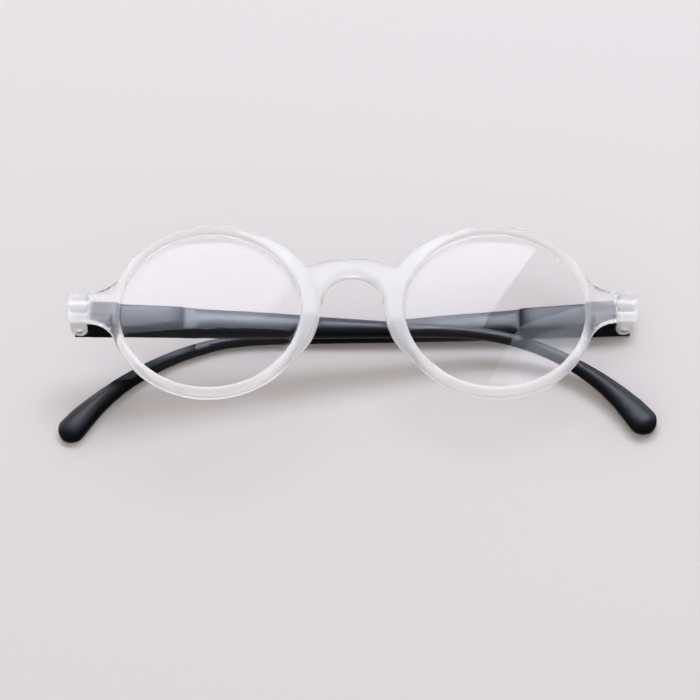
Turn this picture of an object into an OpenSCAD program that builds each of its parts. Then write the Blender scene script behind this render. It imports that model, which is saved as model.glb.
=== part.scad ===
// Round reading glasses, folded and lying with the lenses up.
// The front is first drawn in its own flat frame: X across the face, Y up the
// lenses, Z out of the front. The whole part is then tipped so that the flat
// outer side of the lower temple lies on the ground plane, under the bridge.

/* [Front] */
// Half of the width from one hinge end to the other
half_w = 67.5; // [65.5:0.5:72]
// Distance from the middle of the nose to the middle of a lens
lens_x = 33.5; // [33:0.25:34.5]
// Radius of the clear opening of a rim
eye_r = 21.3; // [20.6:0.1:21.8]
// Width of a rim, seen from the front
rim_w = 2.4; // [2.2:0.1:3]
// Depth of a rim, front to back
rim_t = 3.6; // [3.5:0.1:4]
// Radius of the rounding of a rim's edges
rim_round = 1.1; // [0.6:0.1:1.1]
// Radius of the fillets between an endpiece and its rim
fillet_r = 7; // [4:0.5:8.5]

/* [Bridge] */
// Height of the top of the bridge above the lens centres
bridge_top = 14.4; // [13.6:0.2:15.4]
// Radius of the arch under the bridge
arch_r = 6.8; // [6.2:0.2:7.2]
// Height of the middle of that arch above the lens centres
arch_y = 2.4; // [1.6:0.2:3.2]
// Radius of the gentle curve along the top of the bridge
crown_r = 24; // [20:1:30]
// Depth of the bridge, front to back
bridge_t = 3.2; // [2.6:0.1:3.4]

/* [Nose flanks] */
// Distance from the middle of the nose to the centre of a flank's curve
flank_x = 28; // [27.6:0.1:28.4]
// Height of that centre above the lens centres
flank_y = 1.5; // [1:0.1:2]
// Radius of a flank's outer curve
flank_r = 20.5; // [20.1:0.1:20.9]
// How far a moulded pad stands back behind its rim
pad_back = 0.5; // [0.2:0.1:0.6]
// Length of a moulded pad
pad_l = 15; // [10:0.5:18]

/* [Lenses] */
// Thickness of a lens at its edge
lens_edge_t = 1.2; // [1:0.05:1.4]
// Depth of the groove that holds a lens
groove_d = 0.9; // [0.6:0.1:1.1]
// Depth of the middle of the groove behind the face of the front
groove_z = 2.3; // [2.2:0.05:2.5]
// Clearance all round between a lens and its groove
lens_gap = 0.05; // [0.02:0.01:0.1]
// Radius of the front curve of a lens
lens_front_r = 200; // [180:10:260]
// Radius of the back curve of a lens
lens_back_r = 300; // [270:10:400]

/* [Hinges] */
// Distance from a hinge pin's axis to the end of the front
pin_in = 3; // [2.9:0.05:3.2]
// Depth of the pin's axis behind the face of the front
pin_z = 6.6; // [6.5:0.1:7]
// Height of the hinge's middle above the lens centres
hinge_y = 0.8; // [0.4:0.1:1.4]
// Total height of the five knuckles
barrel_h = 7.8; // [7.4:0.1:8.6]
// Outer radius of a knuckle
knuckle_r = 2; // [1.8:0.05:2.1]
// Radius of the hole through the knuckles
bore_r = 0.75; // [0.65:0.05:0.85]
// Radial clearance of the screw in that hole
screw_gap = 0.05; // [0.02:0.01:0.09]
// Gap between two neighbouring knuckles
knuckle_gap = 0.12; // [0.08:0.02:0.2]
// Gap between a knuckle and what turns round it
turn_gap = 0.15; // [0.1:0.05:0.25]
// Lean of both hinge pins towards the right-hand side, in degrees
pin_lean = 2; // [1.9:0.05:2.2]

/* [Screws] */
// Radius of a screw's head
head_r = 1.3; // [1.1:0.05:1.4]
// Thickness of a screw's head
head_t = 0.7; // [0.5:0.1:0.9]
// Width of the slot across a screw's head
slot_w = 0.4; // [0.3:0.05:0.5]

/* [Temples] */
// Length of a temple from its pin to the start of the bend
straight_l = 88; // [84:1:92]
// Length of the bent end, measured along its curve
bend_l = 55.5; // [53:0.5:58]
// Angle through which the end bends down, in degrees
bend_angle = 58; // [54:1:62]
// Angle by which a temple runs down from its hinge, in degrees
droop = 0.1; // [0:0.05:0.3]
// Height of a temple beside its hinge
temple_h = 7.2; // [6.8:0.1:7.3]
// Thickness of a temple beside its hinge
temple_t = 5.1; // [4.8:0.1:5.2]
// Length of the thick block beside the hinge
block_l = 24.3; // [20:0.5:28]
// Height by which that block stands proud of the rest of the inner side
block_step = 0.5; // [0.3:0.1:0.7]
// Height of a temple at the end of that block
shoulder_h = 6.5; // [6.1:0.1:6.6]
// Thickness of a temple halfway along
middle_t = 3.5; // [3.2:0.1:3.8]
// Height of a temple at its slimmest, where it bends
neck_h = 2.5; // [2.2:0.1:2.8]
// Thickness of a temple there
neck_t = 2.5; // [2.2:0.1:2.8]
// Height of the paddle at the end
paddle_h = 6.6; // [6:0.1:7]
// Thickness of the paddle at the end
paddle_t = 2.8; // [2.4:0.1:3.2]

/* [Fold] */
// Angle by which the lower temple stays short of lying against the front
lower_open = 8; // [7.5:0.1:8.5]
// Angle by which the upper temple is folded past square
upper_over = 0.5; // [0.3:0.05:0.6]

/* [Hidden] */
$fn = 96;
clear_plastic = [0.93, 0.94, 0.95, 0.7];
lens_tint = [0.85, 0.9, 0.95, 0.35];
black_plastic = [0.08, 0.08, 0.09];
steel = [0.7, 0.71, 0.72];

// Front
through = 20;
rim_r = eye_r + rim_w;
face_inset = 0.1;
open_gap = 0.4;
endpiece_back = pin_z - pin_in - open_gap;
endpiece_t = endpiece_back - face_inset;
endpiece_round = 1;
fillet_inset = 0.35;
end_top = hinge_y + barrel_h / 2;
end_bottom = hinge_y - barrel_h / 2;
bridge_band = 3.4;
flank_w = 9;
bridge_round = 1.2;
bridge_bite = 2;
// Radius of the shallow curve along the back of a pad
pad_curve_r = (pad_l * pad_l / 4 + pad_back * pad_back) / (2 * pad_back);

// Hinges
pin_x = half_w - pin_in;
pitch = barrel_h / 5;
knuckle_l = pitch - knuckle_gap;
knuckle_edge = 0.45;
web_bite = 0.5;
pocket_r = knuckle_r + turn_gap;
shank_r = bore_r - screw_gap;
shank_end = 0.3;
head_gap = 0.1;
head_recess = head_t + head_gap;
slot_d = 0.3;
lean_axis = [sin(pin_lean), cos(pin_lean), 0];

// Height of the front's own origin above the ground
rest_z = pin_in + pin_z * cos(lower_open)
    + sin(lower_open) * (pin_x * cos(pin_lean) - hinge_y * sin(pin_lean));

// Temples: stations along the curved middle line, counted from the pin
overhang = 1.3;
temple_l = straight_l + bend_l;
step_start = block_l - 0.4;
shoulder_end = block_l + 0.8;
soft_end = shoulder_end + 6;
middle_s = 64;
neck_s = straight_l + 8;
paddle_s = temple_l - 5;
tip_cap = 3.2;
step_l = 2;
corner_n = 3;
block_soft = 0.16;
arm_soft = 0.25;
tip_t = 0.6;

function smooth(a) = a <= 0 ? 0 : a >= 1 ? 1 : a * a * (3 - 2 * a);
function mix(a, b, f) = a + (b - a) * f;
function part_of(s, a, b) = min(1, max(0, (s - a) / (b - a)));

// Points round a rectangle with soft corners, centred on the origin
function soft_rect(w, t, r, n = 5) = [
    for (c = [[w / 2 - r, t / 2 - r, 0], [r - w / 2, t / 2 - r, 90],
              [r - w / 2, r - t / 2, 180], [w / 2 - r, r - t / 2, 270]])
        for (i = [0:n])
            [c[0] + r * cos(c[2] + 90 * i / n), c[1] + r * sin(c[2] + 90 * i / n)]
];

// Tips the flat front frame and sets it on the ground
module at_rest() {
    translate([0, 0, rest_z]) rotate(a = lower_open, v = lean_axis) children();
}

// Moves to a hinge pin, with Y along the pin: side is -1 on the left, 1 on the right
module at_pin(side) {
    translate([side * pin_x, hinge_y, -pin_z]) rotate([0, 0, -pin_lean]) children();
}

module both_sides() {
    children();
    mirror([1, 0, 0]) children();
}

// One rounded band turned round a centre in the plane of the front
module band(w, t, r, round_r, turn = 360) {
    rotate_extrude(angle = turn) translate([r - w / 2, 0])
        polygon(soft_rect(w, t, round_r));
}

module rim() {
    translate([lens_x, 0, -rim_t / 2]) band(rim_w, rim_t, rim_r, rim_round);
    translate([flank_x, flank_y, -rim_t / 2]) intersection() {
        band(flank_w, rim_t, flank_r, rim_round);
        translate([-flank_r - 1, -flank_r - 1, -rim_t])
            cube([flank_r + 1, 2 * flank_r + 2, 2 * rim_t]);
    }
}

// Nose pad, moulded in one with the flank
module pad() {
    intersection() {
        translate([flank_x, flank_y, -rim_t / 2 - pad_back])
            band(flank_w, rim_t, flank_r, rim_round);
        translate([flank_x - flank_r, 0, pad_curve_r - rim_t - pad_back]) rotate([0, 90, 0])
            cylinder(r = pad_curve_r, h = flank_w, center = true, $fn = 360);
    }
}

// Bar that reaches from the rim to the hinge
module endpiece() {
    r = endpiece_round;
    start_x = lens_x + eye_r + rim_w / 2;
    hull() for (x = [start_x, half_w - r], y = [end_bottom + r, end_top - r],
                z = [-endpiece_back + r, -face_inset - r])
        translate([x, y, z]) sphere(r, $fn = 24);
    for (up = [1, -1]) endpiece_fillet(up, up > 0 ? end_top : -end_bottom);
}

// Hollow curve that runs from the edge of the bar into the rim, at height y
module endpiece_fillet(up, y) {
    cy = y + fillet_r;
    cx = sqrt(pow(rim_r + fillet_r, 2) - cy * cy);
    k = rim_r / (rim_r + fillet_r);
    t = endpiece_t - 2 * fillet_inset;
    translate([lens_x, 0, -face_inset - endpiece_t / 2]) linear_extrude(t, center = true)
        difference() {
            polygon([[eye_r, 0], [cx * k, up * cy * k], [cx, up * y], [cx, 0]]);
            translate([cx, up * cy]) circle(fillet_r);
        }
}

module bridge() {
    z = -face_inset - bridge_t / 2;
    translate([0, arch_y, z]) band(bridge_band, bridge_t, arch_r + bridge_band, bridge_round, 180);
    reach = lens_x - rim_r + bridge_bite;
    crown_turn = asin(reach / crown_r);
    translate([0, bridge_top - crown_r, z]) rotate([0, 0, 90 - crown_turn])
        band(bridge_band, bridge_t, crown_r, bridge_round, 2 * crown_turn);
    translate([0, 0, z]) linear_extrude(bridge_t, center = true) difference() {
        intersection() {
            translate([0, bridge_top - crown_r]) circle(crown_r - bridge_band / 2, $fn = 180);
            translate([-reach, arch_y + arch_r / 2]) square([2 * reach, arch_r * 2]);
        }
        translate([0, arch_y]) circle(arch_r + bridge_band / 2);
    }
}

// Lengthwise place of knuckle i, counted up from the bottom one
function knuckle_y(i) = -barrel_h / 2 + pitch * i + knuckle_gap / 2;

module knuckle(i) {
    translate([0, knuckle_y(i), 0]) rotate([-90, 0, 0])
        rotate_extrude() polygon([
            [0, 0], [knuckle_r - knuckle_edge, 0], [knuckle_r - knuckle_edge / 3, knuckle_edge / 3],
            [knuckle_r, knuckle_edge], [knuckle_r, knuckle_l], [0, knuckle_l]
        ]);
}

// Solid wall that ties a front knuckle to the endpiece
module knuckle_web(i) {
    translate([-knuckle_r, knuckle_y(i), 0])
        cube([2 * knuckle_r, knuckle_l, pin_z - endpiece_back + web_bite]);
}

module pin_bore() {
    rotate([90, 0, 0]) cylinder(r = bore_r, h = through, center = true);
}

module screw_recess() {
    translate([0, barrel_h / 2 - knuckle_gap / 2 - head_recess, 0]) rotate([-90, 0, 0])
        cylinder(r = head_r + head_gap, h = through);
}

module eye_opening() {
    translate([0, 0, -through / 2]) cylinder(r = eye_r, h = through);
    half = lens_edge_t / 2 + lens_gap;
    translate([0, 0, -groove_z]) rotate_extrude() polygon([
        [0, -half], [eye_r + groove_d / 2, -half], [eye_r + groove_d, -half / 2],
        [eye_r + groove_d, half / 2], [eye_r + groove_d / 2, half], [0, half]
    ]);
}

module front_frame() {
    color(clear_plastic) at_rest() difference() {
        union() {
            both_sides() {
                rim();
                pad();
                endpiece();
            }
            bridge();
            for (side = [-1, 1], i = [0, 2, 4]) at_pin(side) {
                knuckle(i);
                knuckle_web(i);
            }
        }
        both_sides() translate([lens_x, 0, 0]) eye_opening();
        for (side = [-1, 1]) at_pin(side) {
            pin_bore();
            screw_recess();
        }
    }
}

// Height of a sphere of radius big above its rim, at distance r from its middle
function sag(big, r) = big - sqrt(big * big - r * r);

// Lens with a bevelled edge that sits in the groove
module lens(side) {
    edge_r = eye_r + groove_d - lens_gap;
    shoulder_r = eye_r + groove_d / 2 - lens_gap;
    half = lens_edge_t / 2;
    steps = 12;
    color(lens_tint) at_rest() translate([side * lens_x, 0, -groove_z])
        rotate_extrude($fn = 128) polygon(concat(
            [for (i = [0:steps]) let (r = shoulder_r * i / steps)
                [r, half + sag(lens_front_r, shoulder_r) - sag(lens_front_r, r)]],
            [[edge_r, half / 2], [edge_r, -half / 2]],
            [for (i = [steps:-1:0]) let (r = shoulder_r * i / steps)
                [r, -half + sag(lens_back_r, shoulder_r) - sag(lens_back_r, r)]]
        ));
}

// Heading of the middle line at station s, in degrees below level
function heading(s) = droop + bend_angle * part_of(s, straight_l, temple_l);

// Places along the middle line, one step apart, as [u, v]
function middle_line(s, end, p) = s >= end - 0.001 ? [p] : concat([p], middle_line(
    s + step_l, end, p + step_l * [cos(heading(s + step_l / 2)), -sin(heading(s + step_l / 2))]));
bend_points = middle_line(0, temple_l + 2 * step_l, [0, 0]);
function place(s) = s < 0 ? s * [cos(droop), -sin(droop)]
    : let (i = floor(s / step_l), f = s / step_l - i)
        mix(bend_points[i], bend_points[i + 1], f);

// Height and thickness of a temple at station s
function height_at(s) =
    s < block_l ? mix(temple_h, shoulder_h, part_of(s, 0, block_l))
    : s < neck_s ? mix(shoulder_h, neck_h, smooth(part_of(s, block_l, neck_s)))
    : mix(neck_h, paddle_h, pow(part_of(s, neck_s, paddle_s), 3));
function thickness_at(s) =
    s < middle_s ? mix(temple_t, middle_t + block_step, part_of(s, 0, middle_s))
        - block_step * smooth(part_of(s, step_start, shoulder_end))
    : s < neck_s ? mix(middle_t, neck_t, smooth(part_of(s, middle_s, neck_s)))
    : mix(neck_t, paddle_t, part_of(s, neck_s, paddle_s));
function cap_at(s) = s < temple_l - tip_cap ? 1
    : sqrt(max(0.02, 1 - pow((s - temple_l + tip_cap) / tip_cap, 2)));

// One ring of points round a temple at station s
function ring(s) = let (
        c = cap_at(s),
        h = height_at(s) * c,
        t = thickness_at(s) * mix(tip_t, 1, c),
        a = -heading(s),
        p = place(s),
        soft = mix(block_soft, arm_soft, smooth(part_of(s, block_l, soft_end))),
        ri = min(h, t) * soft,
        ro = min(h, t) * block_soft
    ) [
        for (q = [[1, 1, 0, ri], [-1, 1, 90, ri], [-1, -1, 180, ro], [1, -1, 270, ro]])
            for (i = [0:corner_n])
                let (
                    b = q[2] + 90 * i / corner_n,
                    n = q[0] * (h / 2 - q[3]) + q[3] * cos(b),
                    w = -pin_in + t / 2 + q[1] * (t / 2 - q[3]) + q[3] * sin(b)
                ) [p[0] - n * sin(a), p[1] + n * cos(a), w]
    ];

// Stations close together at the block's step and at the tip, wider elsewhere
stations = concat(
    [-overhang],
    [for (i = [1:6]) block_l * i / 7],
    [for (i = [0:4]) mix(step_start, shoulder_end, i / 4)],
    [for (i = [1:8]) mix(shoulder_end, middle_s, i / 8)],
    [for (i = [1:6]) mix(middle_s, neck_s, i / 6)],
    [for (i = [1:11]) mix(neck_s, temple_l - tip_cap, i / 11)],
    [for (i = [1:6]) temple_l - tip_cap + tip_cap * sin(15 * i)]
);

module temple_body() {
    rings = [for (s = stations) ring(s)];
    n = len(rings[0]);
    m = len(rings);
    polyhedron(
        points = [for (r = rings) each r],
        faces = concat(
            [[for (j = [0:n - 1]) j]],
            [for (i = [0:m - 2], j = [0:n - 1]) let (k = (j + 1) % n)
                [i * n + j, (i + 1) * n + j, (i + 1) * n + k]],
            [for (i = [0:m - 2], j = [0:n - 1]) let (k = (j + 1) % n)
                [i * n + j, (i + 1) * n + k, i * n + k]],
            [[for (j = [n - 1:-1:0]) (m - 1) * n + j]]
        ),
        convexity = 4
    );
}

// Room that the front's knuckle i and its web need as the temple turns
module knuckle_pocket(i) {
    low = i == 0 ? -through / 2 : knuckle_y(i) - knuckle_gap;
    high = i == 4 ? through / 2 : knuckle_y(i) + knuckle_l + knuckle_gap;
    translate([0, low, 0]) {
        rotate([-90, 0, 0]) cylinder(r = pocket_r, h = high - low);
        translate([-through / 2, 0, -pocket_r]) cube([through / 2, high - low, through]);
        translate([-0.01, 0, 0]) cube([pocket_r + 0.01, high - low, through]);
    }
}

// Temple along X from its pin, which stands along Y; the inner side faces Z
module temple() {
    difference() {
        union() {
            difference() {
                temple_body();
                for (i = [0, 2, 4]) knuckle_pocket(i);
            }
            for (i = [1, 3]) knuckle(i);
        }
        pin_bore();
    }
}

// The upper temple, hinged on the left
module left_temple() {
    color(black_plastic) at_rest() at_pin(-1) rotate([0, -upper_over, 0]) temple();
}

// The lower temple, hinged on the right
module right_temple() {
    color(black_plastic) at_rest() at_pin(1) rotate([0, -lower_open, 0])
        mirror([1, 0, 0]) temple();
}

module hinge_screw(side) {
    top = barrel_h / 2 - knuckle_gap / 2;
    color(steel) at_rest() at_pin(side) rotate([-90, 0, 0]) difference() {
        union() {
            translate([0, 0, -barrel_h / 2 + shank_end])
                cylinder(r = shank_r, h = top + barrel_h / 2 - shank_end - head_recess + head_t / 2);
            translate([0, 0, top - head_recess]) cylinder(r = head_r, h = head_t);
        }
        translate([-through / 2, -slot_w / 2, top - head_recess + head_t - slot_d])
            cube([through, slot_w, through]);
    }
}

front_frame();
lens(-1);  // left_lens
lens(1);  // right_lens
left_temple();
right_temple();
hinge_screw(-1);  // left_hinge_screw
hinge_screw(1);  // right_hinge_screw
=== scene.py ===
import math

import bmesh
import bpy
from mathutils import Matrix, Vector


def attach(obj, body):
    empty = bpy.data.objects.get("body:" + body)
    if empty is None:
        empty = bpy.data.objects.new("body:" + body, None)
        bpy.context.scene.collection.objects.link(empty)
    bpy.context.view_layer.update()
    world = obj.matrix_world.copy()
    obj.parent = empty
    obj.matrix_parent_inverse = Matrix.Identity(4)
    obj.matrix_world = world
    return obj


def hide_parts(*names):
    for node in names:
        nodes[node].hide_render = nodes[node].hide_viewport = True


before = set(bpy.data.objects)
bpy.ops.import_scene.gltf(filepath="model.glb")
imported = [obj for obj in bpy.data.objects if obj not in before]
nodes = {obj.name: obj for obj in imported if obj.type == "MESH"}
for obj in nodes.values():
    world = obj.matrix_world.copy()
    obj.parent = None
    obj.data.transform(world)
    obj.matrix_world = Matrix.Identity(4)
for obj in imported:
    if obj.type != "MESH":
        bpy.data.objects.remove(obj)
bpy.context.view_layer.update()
MM = 0.001

# How the flat drawing frame of the front lies in the folded, resting part
LEAN = math.radians(2.0)
OPEN = math.radians(8.0)
PIN_X, PIN_Y, PIN_Z, PIN_IN = 64.5, 0.8, 6.6, 3.0
REST_Z = PIN_IN + PIN_Z * math.cos(OPEN)
REST_Z += math.sin(OPEN) * (PIN_X * math.cos(LEAN) - PIN_Y * math.sin(LEAN))
LEAN_AXIS = Vector((math.sin(LEAN), math.cos(LEAN), 0))
AT_REST = Matrix.Translation((0, 0, REST_Z * MM)) @ Matrix.Rotation(OPEN, 4, LEAN_AXIS)

# Softened skins: size of a voxel in mm, and how many times the points are relaxed
SKIN = 0.25
ROUNDING = 10
DOMING = 100


def place_camera():
    """Camera of the photo, given in the flat frame of the front."""
    azimuth, elevation, roll = (math.radians(a) for a in (0.84, 58.65, 0.60))
    aim = Vector((-0.66, -11.96, 0))
    distance = 600
    focal_px, photo_px, sensor = 2577.8, 700, 36
    ahead = Vector(
        (
            math.sin(azimuth) * math.cos(elevation),
            math.cos(azimuth) * math.cos(elevation),
            -math.sin(elevation),
        )
    )
    right = ahead.cross(Vector((0, 0, 1))).normalized()
    up = right.cross(ahead)
    right, up = (
        right * math.cos(roll) + up * math.sin(roll),
        up * math.cos(roll) - right * math.sin(roll),
    )
    turned = Matrix((right, up, -ahead)).transposed().to_4x4()
    spot = Matrix.Translation((aim - ahead * distance) * MM)
    data = bpy.data.cameras.new("camera")
    data.sensor_width = sensor
    data.lens = focal_px / photo_px * sensor
    data.clip_start = 0.01
    camera = bpy.data.objects.new("camera", data)
    camera.matrix_world = AT_REST @ spot @ turned
    bpy.context.scene.collection.objects.link(camera)
    bpy.context.scene.camera = camera


def new_material(name):
    mat = bpy.data.materials.new(name)
    mat.use_nodes = True
    return mat, mat.node_tree, mat.node_tree.nodes["Principled BSDF"]


def coordinates(tree, kind):
    """X, Y and Z of the Object or Normal coordinates of a piece."""
    place = tree.nodes.new("ShaderNodeTexCoord")
    parts = tree.nodes.new("ShaderNodeSeparateXYZ")
    tree.links.new(place.outputs[kind], parts.inputs["Vector"])
    return parts.outputs


def noise(tree, scale, detail=4):
    """Noise fixed to the piece, with scale in waves per metre."""
    place = tree.nodes.new("ShaderNodeTexCoord")
    n = tree.nodes.new("ShaderNodeTexNoise")
    n.inputs["Scale"].default_value = scale
    n.inputs["Detail"].default_value = detail
    tree.links.new(place.outputs["Object"], n.inputs["Vector"])
    return n.outputs["Fac"]


def ranged(tree, source, limits, levels):
    """Straight ramp from the first to the second level between two limits."""
    n = tree.nodes.new("ShaderNodeMapRange")
    n.inputs["From Min"].default_value, n.inputs["From Max"].default_value = limits
    n.inputs["To Min"].default_value, n.inputs["To Max"].default_value = levels
    tree.links.new(source, n.inputs["Value"])
    return n.outputs["Result"]


def eased(tree, source, limits, levels):
    """The same ramp with soft ends."""
    result = ranged(tree, source, limits, levels)
    result.node.interpolation_type = "SMOOTHSTEP"
    return result


def mottled(tree, scale, levels):
    """Cloudy change between two levels, with scale in waves per metre."""
    return ranged(tree, noise(tree, scale), (0.3, 0.7), levels)


def combined(tree, operation, a, b):
    n = tree.nodes.new("ShaderNodeMath")
    n.operation = operation
    tree.links.new(a, n.inputs[0])
    tree.links.new(b, n.inputs[1])
    return n.outputs["Value"]


def distance_from(tree, source, middle):
    """How far the source is from the middle, on either side."""
    apart = tree.nodes.new("ShaderNodeMath")
    apart.operation = "SUBTRACT"
    apart.inputs[1].default_value = middle
    size = tree.nodes.new("ShaderNodeMath")
    size.operation = "ABSOLUTE"
    tree.links.new(source, apart.inputs[0])
    tree.links.new(apart.outputs["Value"], size.inputs[0])
    return size.outputs["Value"]


def toned(tree, shader, share, a, b):
    """Base colour between two tones."""
    n = tree.nodes.new("ShaderNodeMix")
    n.data_type = "RGBA"
    n.inputs["A"].default_value = (*a, 1)
    n.inputs["B"].default_value = (*b, 1)
    tree.links.new(share, n.inputs["Factor"])
    tree.links.new(n.outputs["Result"], shader.inputs["Base Color"])


def bumped(tree, shader, source, strength, distance):
    n = tree.nodes.new("ShaderNodeBump")
    n.inputs["Strength"].default_value = strength
    n.inputs["Distance"].default_value = distance
    tree.links.new(source, n.inputs["Height"])
    tree.links.new(n.outputs["Normal"], shader.inputs["Normal"])


def lets_light_by(tree, shader, tint):
    """Light on its way to what lies below passes straight through with a tint."""
    clear = tree.nodes.new("ShaderNodeBsdfTransparent")
    clear.inputs["Color"].default_value = (*tint, 1)
    path = tree.nodes.new("ShaderNodeLightPath")
    passing = combined(tree, "MAXIMUM", path.outputs["Is Shadow Ray"], path.outputs["Is Diffuse Ray"])
    mixed = tree.nodes.new("ShaderNodeMixShader")
    tree.links.new(passing, mixed.inputs["Fac"])
    tree.links.new(shader.outputs["BSDF"], mixed.inputs[1])
    tree.links.new(clear.outputs["BSDF"], mixed.inputs[2])
    tree.links.new(mixed.outputs["Shader"], tree.nodes["Material Output"].inputs["Surface"])


def frosted_plastic():
    """Frosted moulding, clearest on the endpieces and milkiest where the knuckles pile up.

    The bridge has a darker base colour, painted shade that dims it.
    """
    bridge_ends = (10 * MM, 22 * MM)
    endpiece_begins = (52 * MM, 56 * MM)
    knuckles_begin = (60.5 * MM, 62.5 * MM)
    mat, tree, shader = new_material("frosted_moulding")
    shader.inputs["IOR"].default_value = 1.33
    outward = distance_from(tree, coordinates(tree, "Object")["X"], 0)
    # painted shade: darker base colour on the bridge, full tone past it
    past_painted_bridge_shade = eased(tree, outward, bridge_ends, (0.0, 1.0))
    toned(tree, shader, past_painted_bridge_shade, (0.848, 0.838, 0.82), (0.985, 0.975, 0.96))
    clearness = eased(tree, outward, endpiece_begins, (0.66, 0.96))
    milkiness = eased(tree, outward, knuckles_begin, (1.0, 0.625))
    clearness = combined(tree, "MULTIPLY", clearness, milkiness)
    tree.links.new(clearness, shader.inputs["Transmission Weight"])
    tree.links.new(mottled(tree, 400, (0.18, 0.26)), shader.inputs["Roughness"])
    bumped(tree, shader, noise(tree, 900, 2), 0.04, 0.1 * MM)
    lets_light_by(tree, shader, (0.95, 0.94, 0.945))
    return mat


def reading_lens():
    mat, tree, shader = new_material("reading_lens")
    shader.inputs["Base Color"].default_value = (0.985, 0.985, 0.985, 1)
    shader.inputs["IOR"].default_value = 1.2
    shader.inputs["Transmission Weight"].default_value = 1
    tree.links.new(mottled(tree, 60, (0.0, 0.02)), shader.inputs["Roughness"])
    lets_light_by(tree, shader, (0.95, 0.95, 0.95))
    return mat


def satin_black_painted_reflection():
    """Dull black edges round a glossier inner side, whose lighter bluish tone is partly its own paler
    finish and partly a painted reflection of the window, with a painted highlight where it faces up.

    The inner side darkens with painted shade towards its lower edge, its tip and the end of its hinge
    block.
    """
    between_blocks = -1.05 * MM
    arm_ends = (39.2 * MM, 39.7 * MM)
    corner_ends = (39.7 * MM, 43.5 * MM)
    block_height = (-2.6 * MM, 3.4 * MM)
    below_block = (-9 * MM, -6 * MM)
    below_corner = (-6.5 * MM, -4.5 * MM)
    tip_height = (-14 * MM, -3 * MM)
    mat, tree, shader = new_material("satin_black_painted_reflection")
    face = coordinates(tree, "Normal")
    spot = coordinates(tree, "Object")
    outward = distance_from(tree, spot["X"], between_blocks)

    # inner side: partly a paler finish, partly a painted reflection of the window
    inner = eased(tree, face["Z"], (0.5, 1.0), (0.0, 1.0))
    # painted highlight: lighter where the inner side faces up, towards the window behind
    domed = eased(tree, face["Y"], (-0.4, 0.15), (0.18, 1.0))
    # painted shade: the inner side darkens towards the tip
    painted_shade_to_tip = eased(tree, spot["Y"], tip_height, (0.6, 1.0))

    # painted shade: darker towards the lower edge, below the hinge block and past the arm's end
    darkest_painted_shade = 0.15
    deepest_painted_shade = eased(tree, spot["Y"], below_block, (1.0, darkest_painted_shade))
    deepest_painted_shade_by_pin = eased(tree, outward, arm_ends, (1.0, darkest_painted_shade))
    tree.links.new(deepest_painted_shade_by_pin, deepest_painted_shade.node.inputs["To Max"])
    block = eased(tree, spot["Y"], block_height, (darkest_painted_shade, 1.0))
    tree.links.new(deepest_painted_shade, block.node.inputs["To Min"])

    # painted shade in the step at the end of the hinge block
    corner = eased(tree, outward, corner_ends, (0.2, 1.0))
    for limits, source in [(arm_ends, outward), (below_corner, spot["Y"])]:
        corner = combined(tree, "MAXIMUM", corner, eased(tree, source, limits, (1.0, 0.0)))

    # the mottle is real random tone; the other parts are painted reflection, painted highlight and
    # painted shade
    share = mottled(tree, 150, (0.85, 1.0))
    for part in (inner, domed, painted_shade_to_tip, block, corner):
        share = combined(tree, "MULTIPLY", share, part)
    toned(tree, shader, share, (0.002, 0.002, 0.0025), (0.045, 0.048, 0.062))
    # the specular level follows the same painted reflection and painted shade
    gloss = ranged(tree, share, (0.0, 1.0), (0.03, 0.68))
    tree.links.new(gloss, shader.inputs["Specular IOR Level"])
    tree.links.new(mottled(tree, 300, (0.28, 0.36)), shader.inputs["Roughness"])
    bumped(tree, shader, noise(tree, 1500, 2), 0.05, 0.1 * MM)
    return mat


def bright_steel():
    mat, tree, shader = new_material("bright_steel")
    shader.inputs["Base Color"].default_value = (0.62, 0.63, 0.64, 1)
    shader.inputs["Metallic"].default_value = 1
    tree.links.new(mottled(tree, 900, (0.22, 0.36)), shader.inputs["Roughness"])
    return mat


def smooth_copy(name, node, mat, angle=40):
    """A CAD node's own form with its points merged and its curves shaded smooth."""
    bm = bmesh.new()
    bm.from_mesh(nodes[node].data)
    bm.transform(nodes[node].matrix_world)
    bmesh.ops.remove_doubles(bm, verts=bm.verts, dist=0.001 * MM)
    bmesh.ops.recalc_face_normals(bm, faces=bm.faces)
    mesh = bpy.data.meshes.new(name)
    bm.to_mesh(mesh)
    bm.free()
    mesh.shade_smooth()
    mesh.set_sharp_from_angle(angle=math.radians(angle))
    mesh.materials.append(mat)
    obj = bpy.data.objects.new(name, mesh)
    bpy.context.scene.collection.objects.link(obj)
    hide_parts(node)
    return obj


def relax(bm, verts, times):
    for _ in range(times):
        bmesh.ops.smooth_vert(
            bm, verts=verts, factor=0.5, use_axis_x=True, use_axis_y=True, use_axis_z=True
        )


def soften(piece, part, doming=0):
    """Rounds the joins of a moulding where part says so: a skin of voxels, then relaxed.

    Its shading comes from a form relaxed doming times more, so that flats look slightly domed.
    """
    skin = piece.modifiers.new("skin", "REMESH")
    skin.mode = "VOXEL"
    skin.voxel_size = SKIN * MM
    skinned = piece.evaluated_get(bpy.context.evaluated_depsgraph_get())
    bm = bmesh.new()
    bm.from_mesh(skinned.to_mesh())
    piece.modifiers.clear()
    chosen = [v for v in bm.verts if part(v.co / MM)]
    relax(bm, chosen, ROUNDING)
    bm.to_mesh(piece.data)
    piece.data.shade_smooth()
    if doming:
        relax(bm, chosen, doming)
        bm.normal_update()
        piece.data.normals_split_custom_set_from_vertices([v.normal for v in bm.verts])
    bm.free()


def everywhere(spot):
    return True


def past_hinge_block(spot):
    """The arm and the bent end of a temple, whose hinge block keeps its crisp corners."""
    block_end, block_bottom = 37.5, -6
    return abs(spot.x) < block_end or spot.y < block_bottom


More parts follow.
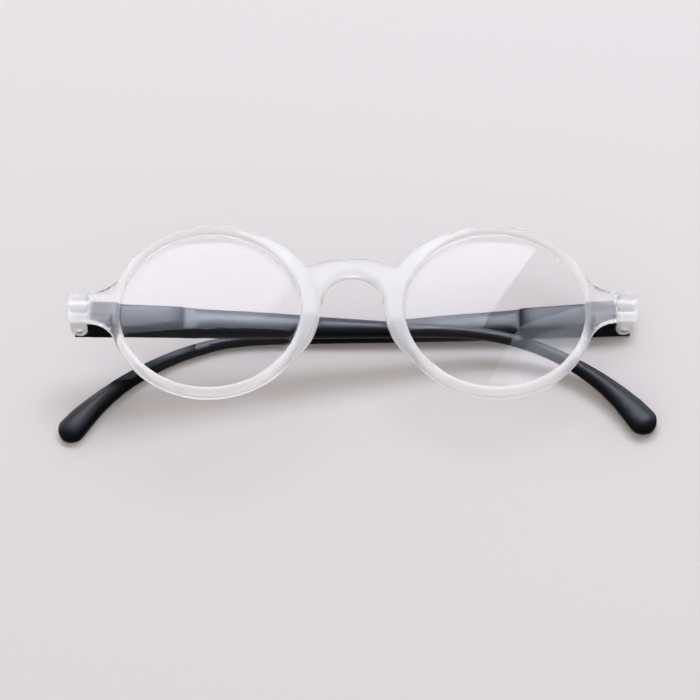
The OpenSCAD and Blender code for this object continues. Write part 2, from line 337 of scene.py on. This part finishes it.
def dress():
    """Every CAD node gets a piece of its own form in the finish of the real one."""
    frosted = frosted_plastic()
    clear = reading_lens()
    black = satin_black_painted_reflection()
    steel = bright_steel()
    for name, node, mat, slot, body in [
        ("front_moulding", "front_frame", frosted, "frosted_plastic", "front"),
        ("lens_on_left", "left_lens", clear, "lens", "front"),
        ("lens_on_right", "right_lens", clear, "lens", "front"),
        ("temple_on_left", "left_temple", black, "black_plastic", "left_temple"),
        ("temple_on_right", "right_temple", black, "black_plastic", "right_temple"),
        ("screw_on_left", "left_hinge_screw", steel, "screw_steel", "front"),
        ("screw_on_right", "right_hinge_screw", steel, "screw_steel", "front"),
    ]:
        piece = smooth_copy(name, node, mat)
        if mat is frosted:
            soften(piece, everywhere)
        elif mat is black:
            soften(piece, past_hinge_block, DOMING)
        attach(piece, body)


def flat_piece(name, mat, outlines):
    """One object of flat faces, each given by its corners."""
    bm = bmesh.new()
    for outline in outlines:
        bm.faces.new([bm.verts.new(corner) for corner in outline])
    mesh = bpy.data.meshes.new(name)
    bm.to_mesh(mesh)
    bm.free()
    mesh.materials.append(mat)
    obj = bpy.data.objects.new(name, mesh)
    bpy.context.scene.collection.objects.link(obj)
    return obj


def table_top():
    mat, tree, shader = new_material("pale_paper")
    shader.inputs["Base Color"].default_value = (0.775, 0.717, 0.686, 1)
    shader.inputs["Roughness"].default_value = 0.8
    bumped(tree, shader, noise(tree, 700), 0.1, 0.2 * MM)
    s = 2.0
    return flat_piece("table_top", mat, [[(-s, -s, 0), (s, -s, 0), (s, s, 0), (-s, s, 0)]])


def window():
    """Bright window behind the glasses that their lenses mirror, in the flat frame.

    A pane's corners are given as shares of the window's height above the glasses.
    """
    mat = bpy.data.materials.new("window")
    mat.use_nodes = True
    tree = mat.node_tree
    light = tree.nodes.new("ShaderNodeEmission")
    light.inputs["Color"].default_value = (0.88, 0.93, 1.08, 1)
    light.inputs["Strength"].default_value = 9.0
    tree.links.new(light.outputs["Emission"], tree.nodes["Material Output"].inputs["Surface"])
    height = 1.2
    panes = [
        [(0.076, 0.58), (0.28, 1.0), (-0.55, 1.0), (-0.55, 0.58)],
        [(0.073, 0.33), (0.171, 0.55), (0.45, 0.72), (0.6, 0.33)],
    ]
    outlines = [[(x * height, y * height, height) for x, y in pane] for pane in panes]
    obj = flat_piece("window", mat, outlines)
    obj.data.transform(AT_REST)
    return obj


def ceiling_light():
    """Weak soft light over the viewer's side, in the flat frame of the front, in metres."""
    spot = Vector((-0.2, -0.15, 1.4))
    width, height = 1.2, 0.9
    radiance = 0.2
    data = bpy.data.lights.new("ceiling_light", "AREA")
    data.shape = "RECTANGLE"
    data.size = width
    data.size_y = height
    data.energy = radiance * math.pi * width * height
    obj = bpy.data.objects.new("ceiling_light", data)
    way = (-spot).to_track_quat("-Z", "Y").to_matrix().to_4x4()
    obj.matrix_world = AT_REST @ Matrix.Translation(spot) @ way
    bpy.context.scene.collection.objects.link(obj)


def room():
    """Dim room that is brightest along the horizon."""
    horizon, overhead = 0.15, 0.55
    world = bpy.data.worlds.new("room")
    world.use_nodes = True
    tree = world.node_tree
    sky = tree.nodes["Background"]
    sky.inputs["Color"].default_value = (1, 0.985, 0.99, 1)
    upward = coordinates(tree, "Generated")["Z"]
    strength = ranged(tree, upward, (horizon, overhead), (1.55, 0.4))
    tree.links.new(strength, sky.inputs["Strength"])
    bpy.context.scene.world = world


place_camera()
bpy.context.scene.view_settings.view_transform = "Standard"
dress()
table_top()
window()
ceiling_light()
room()
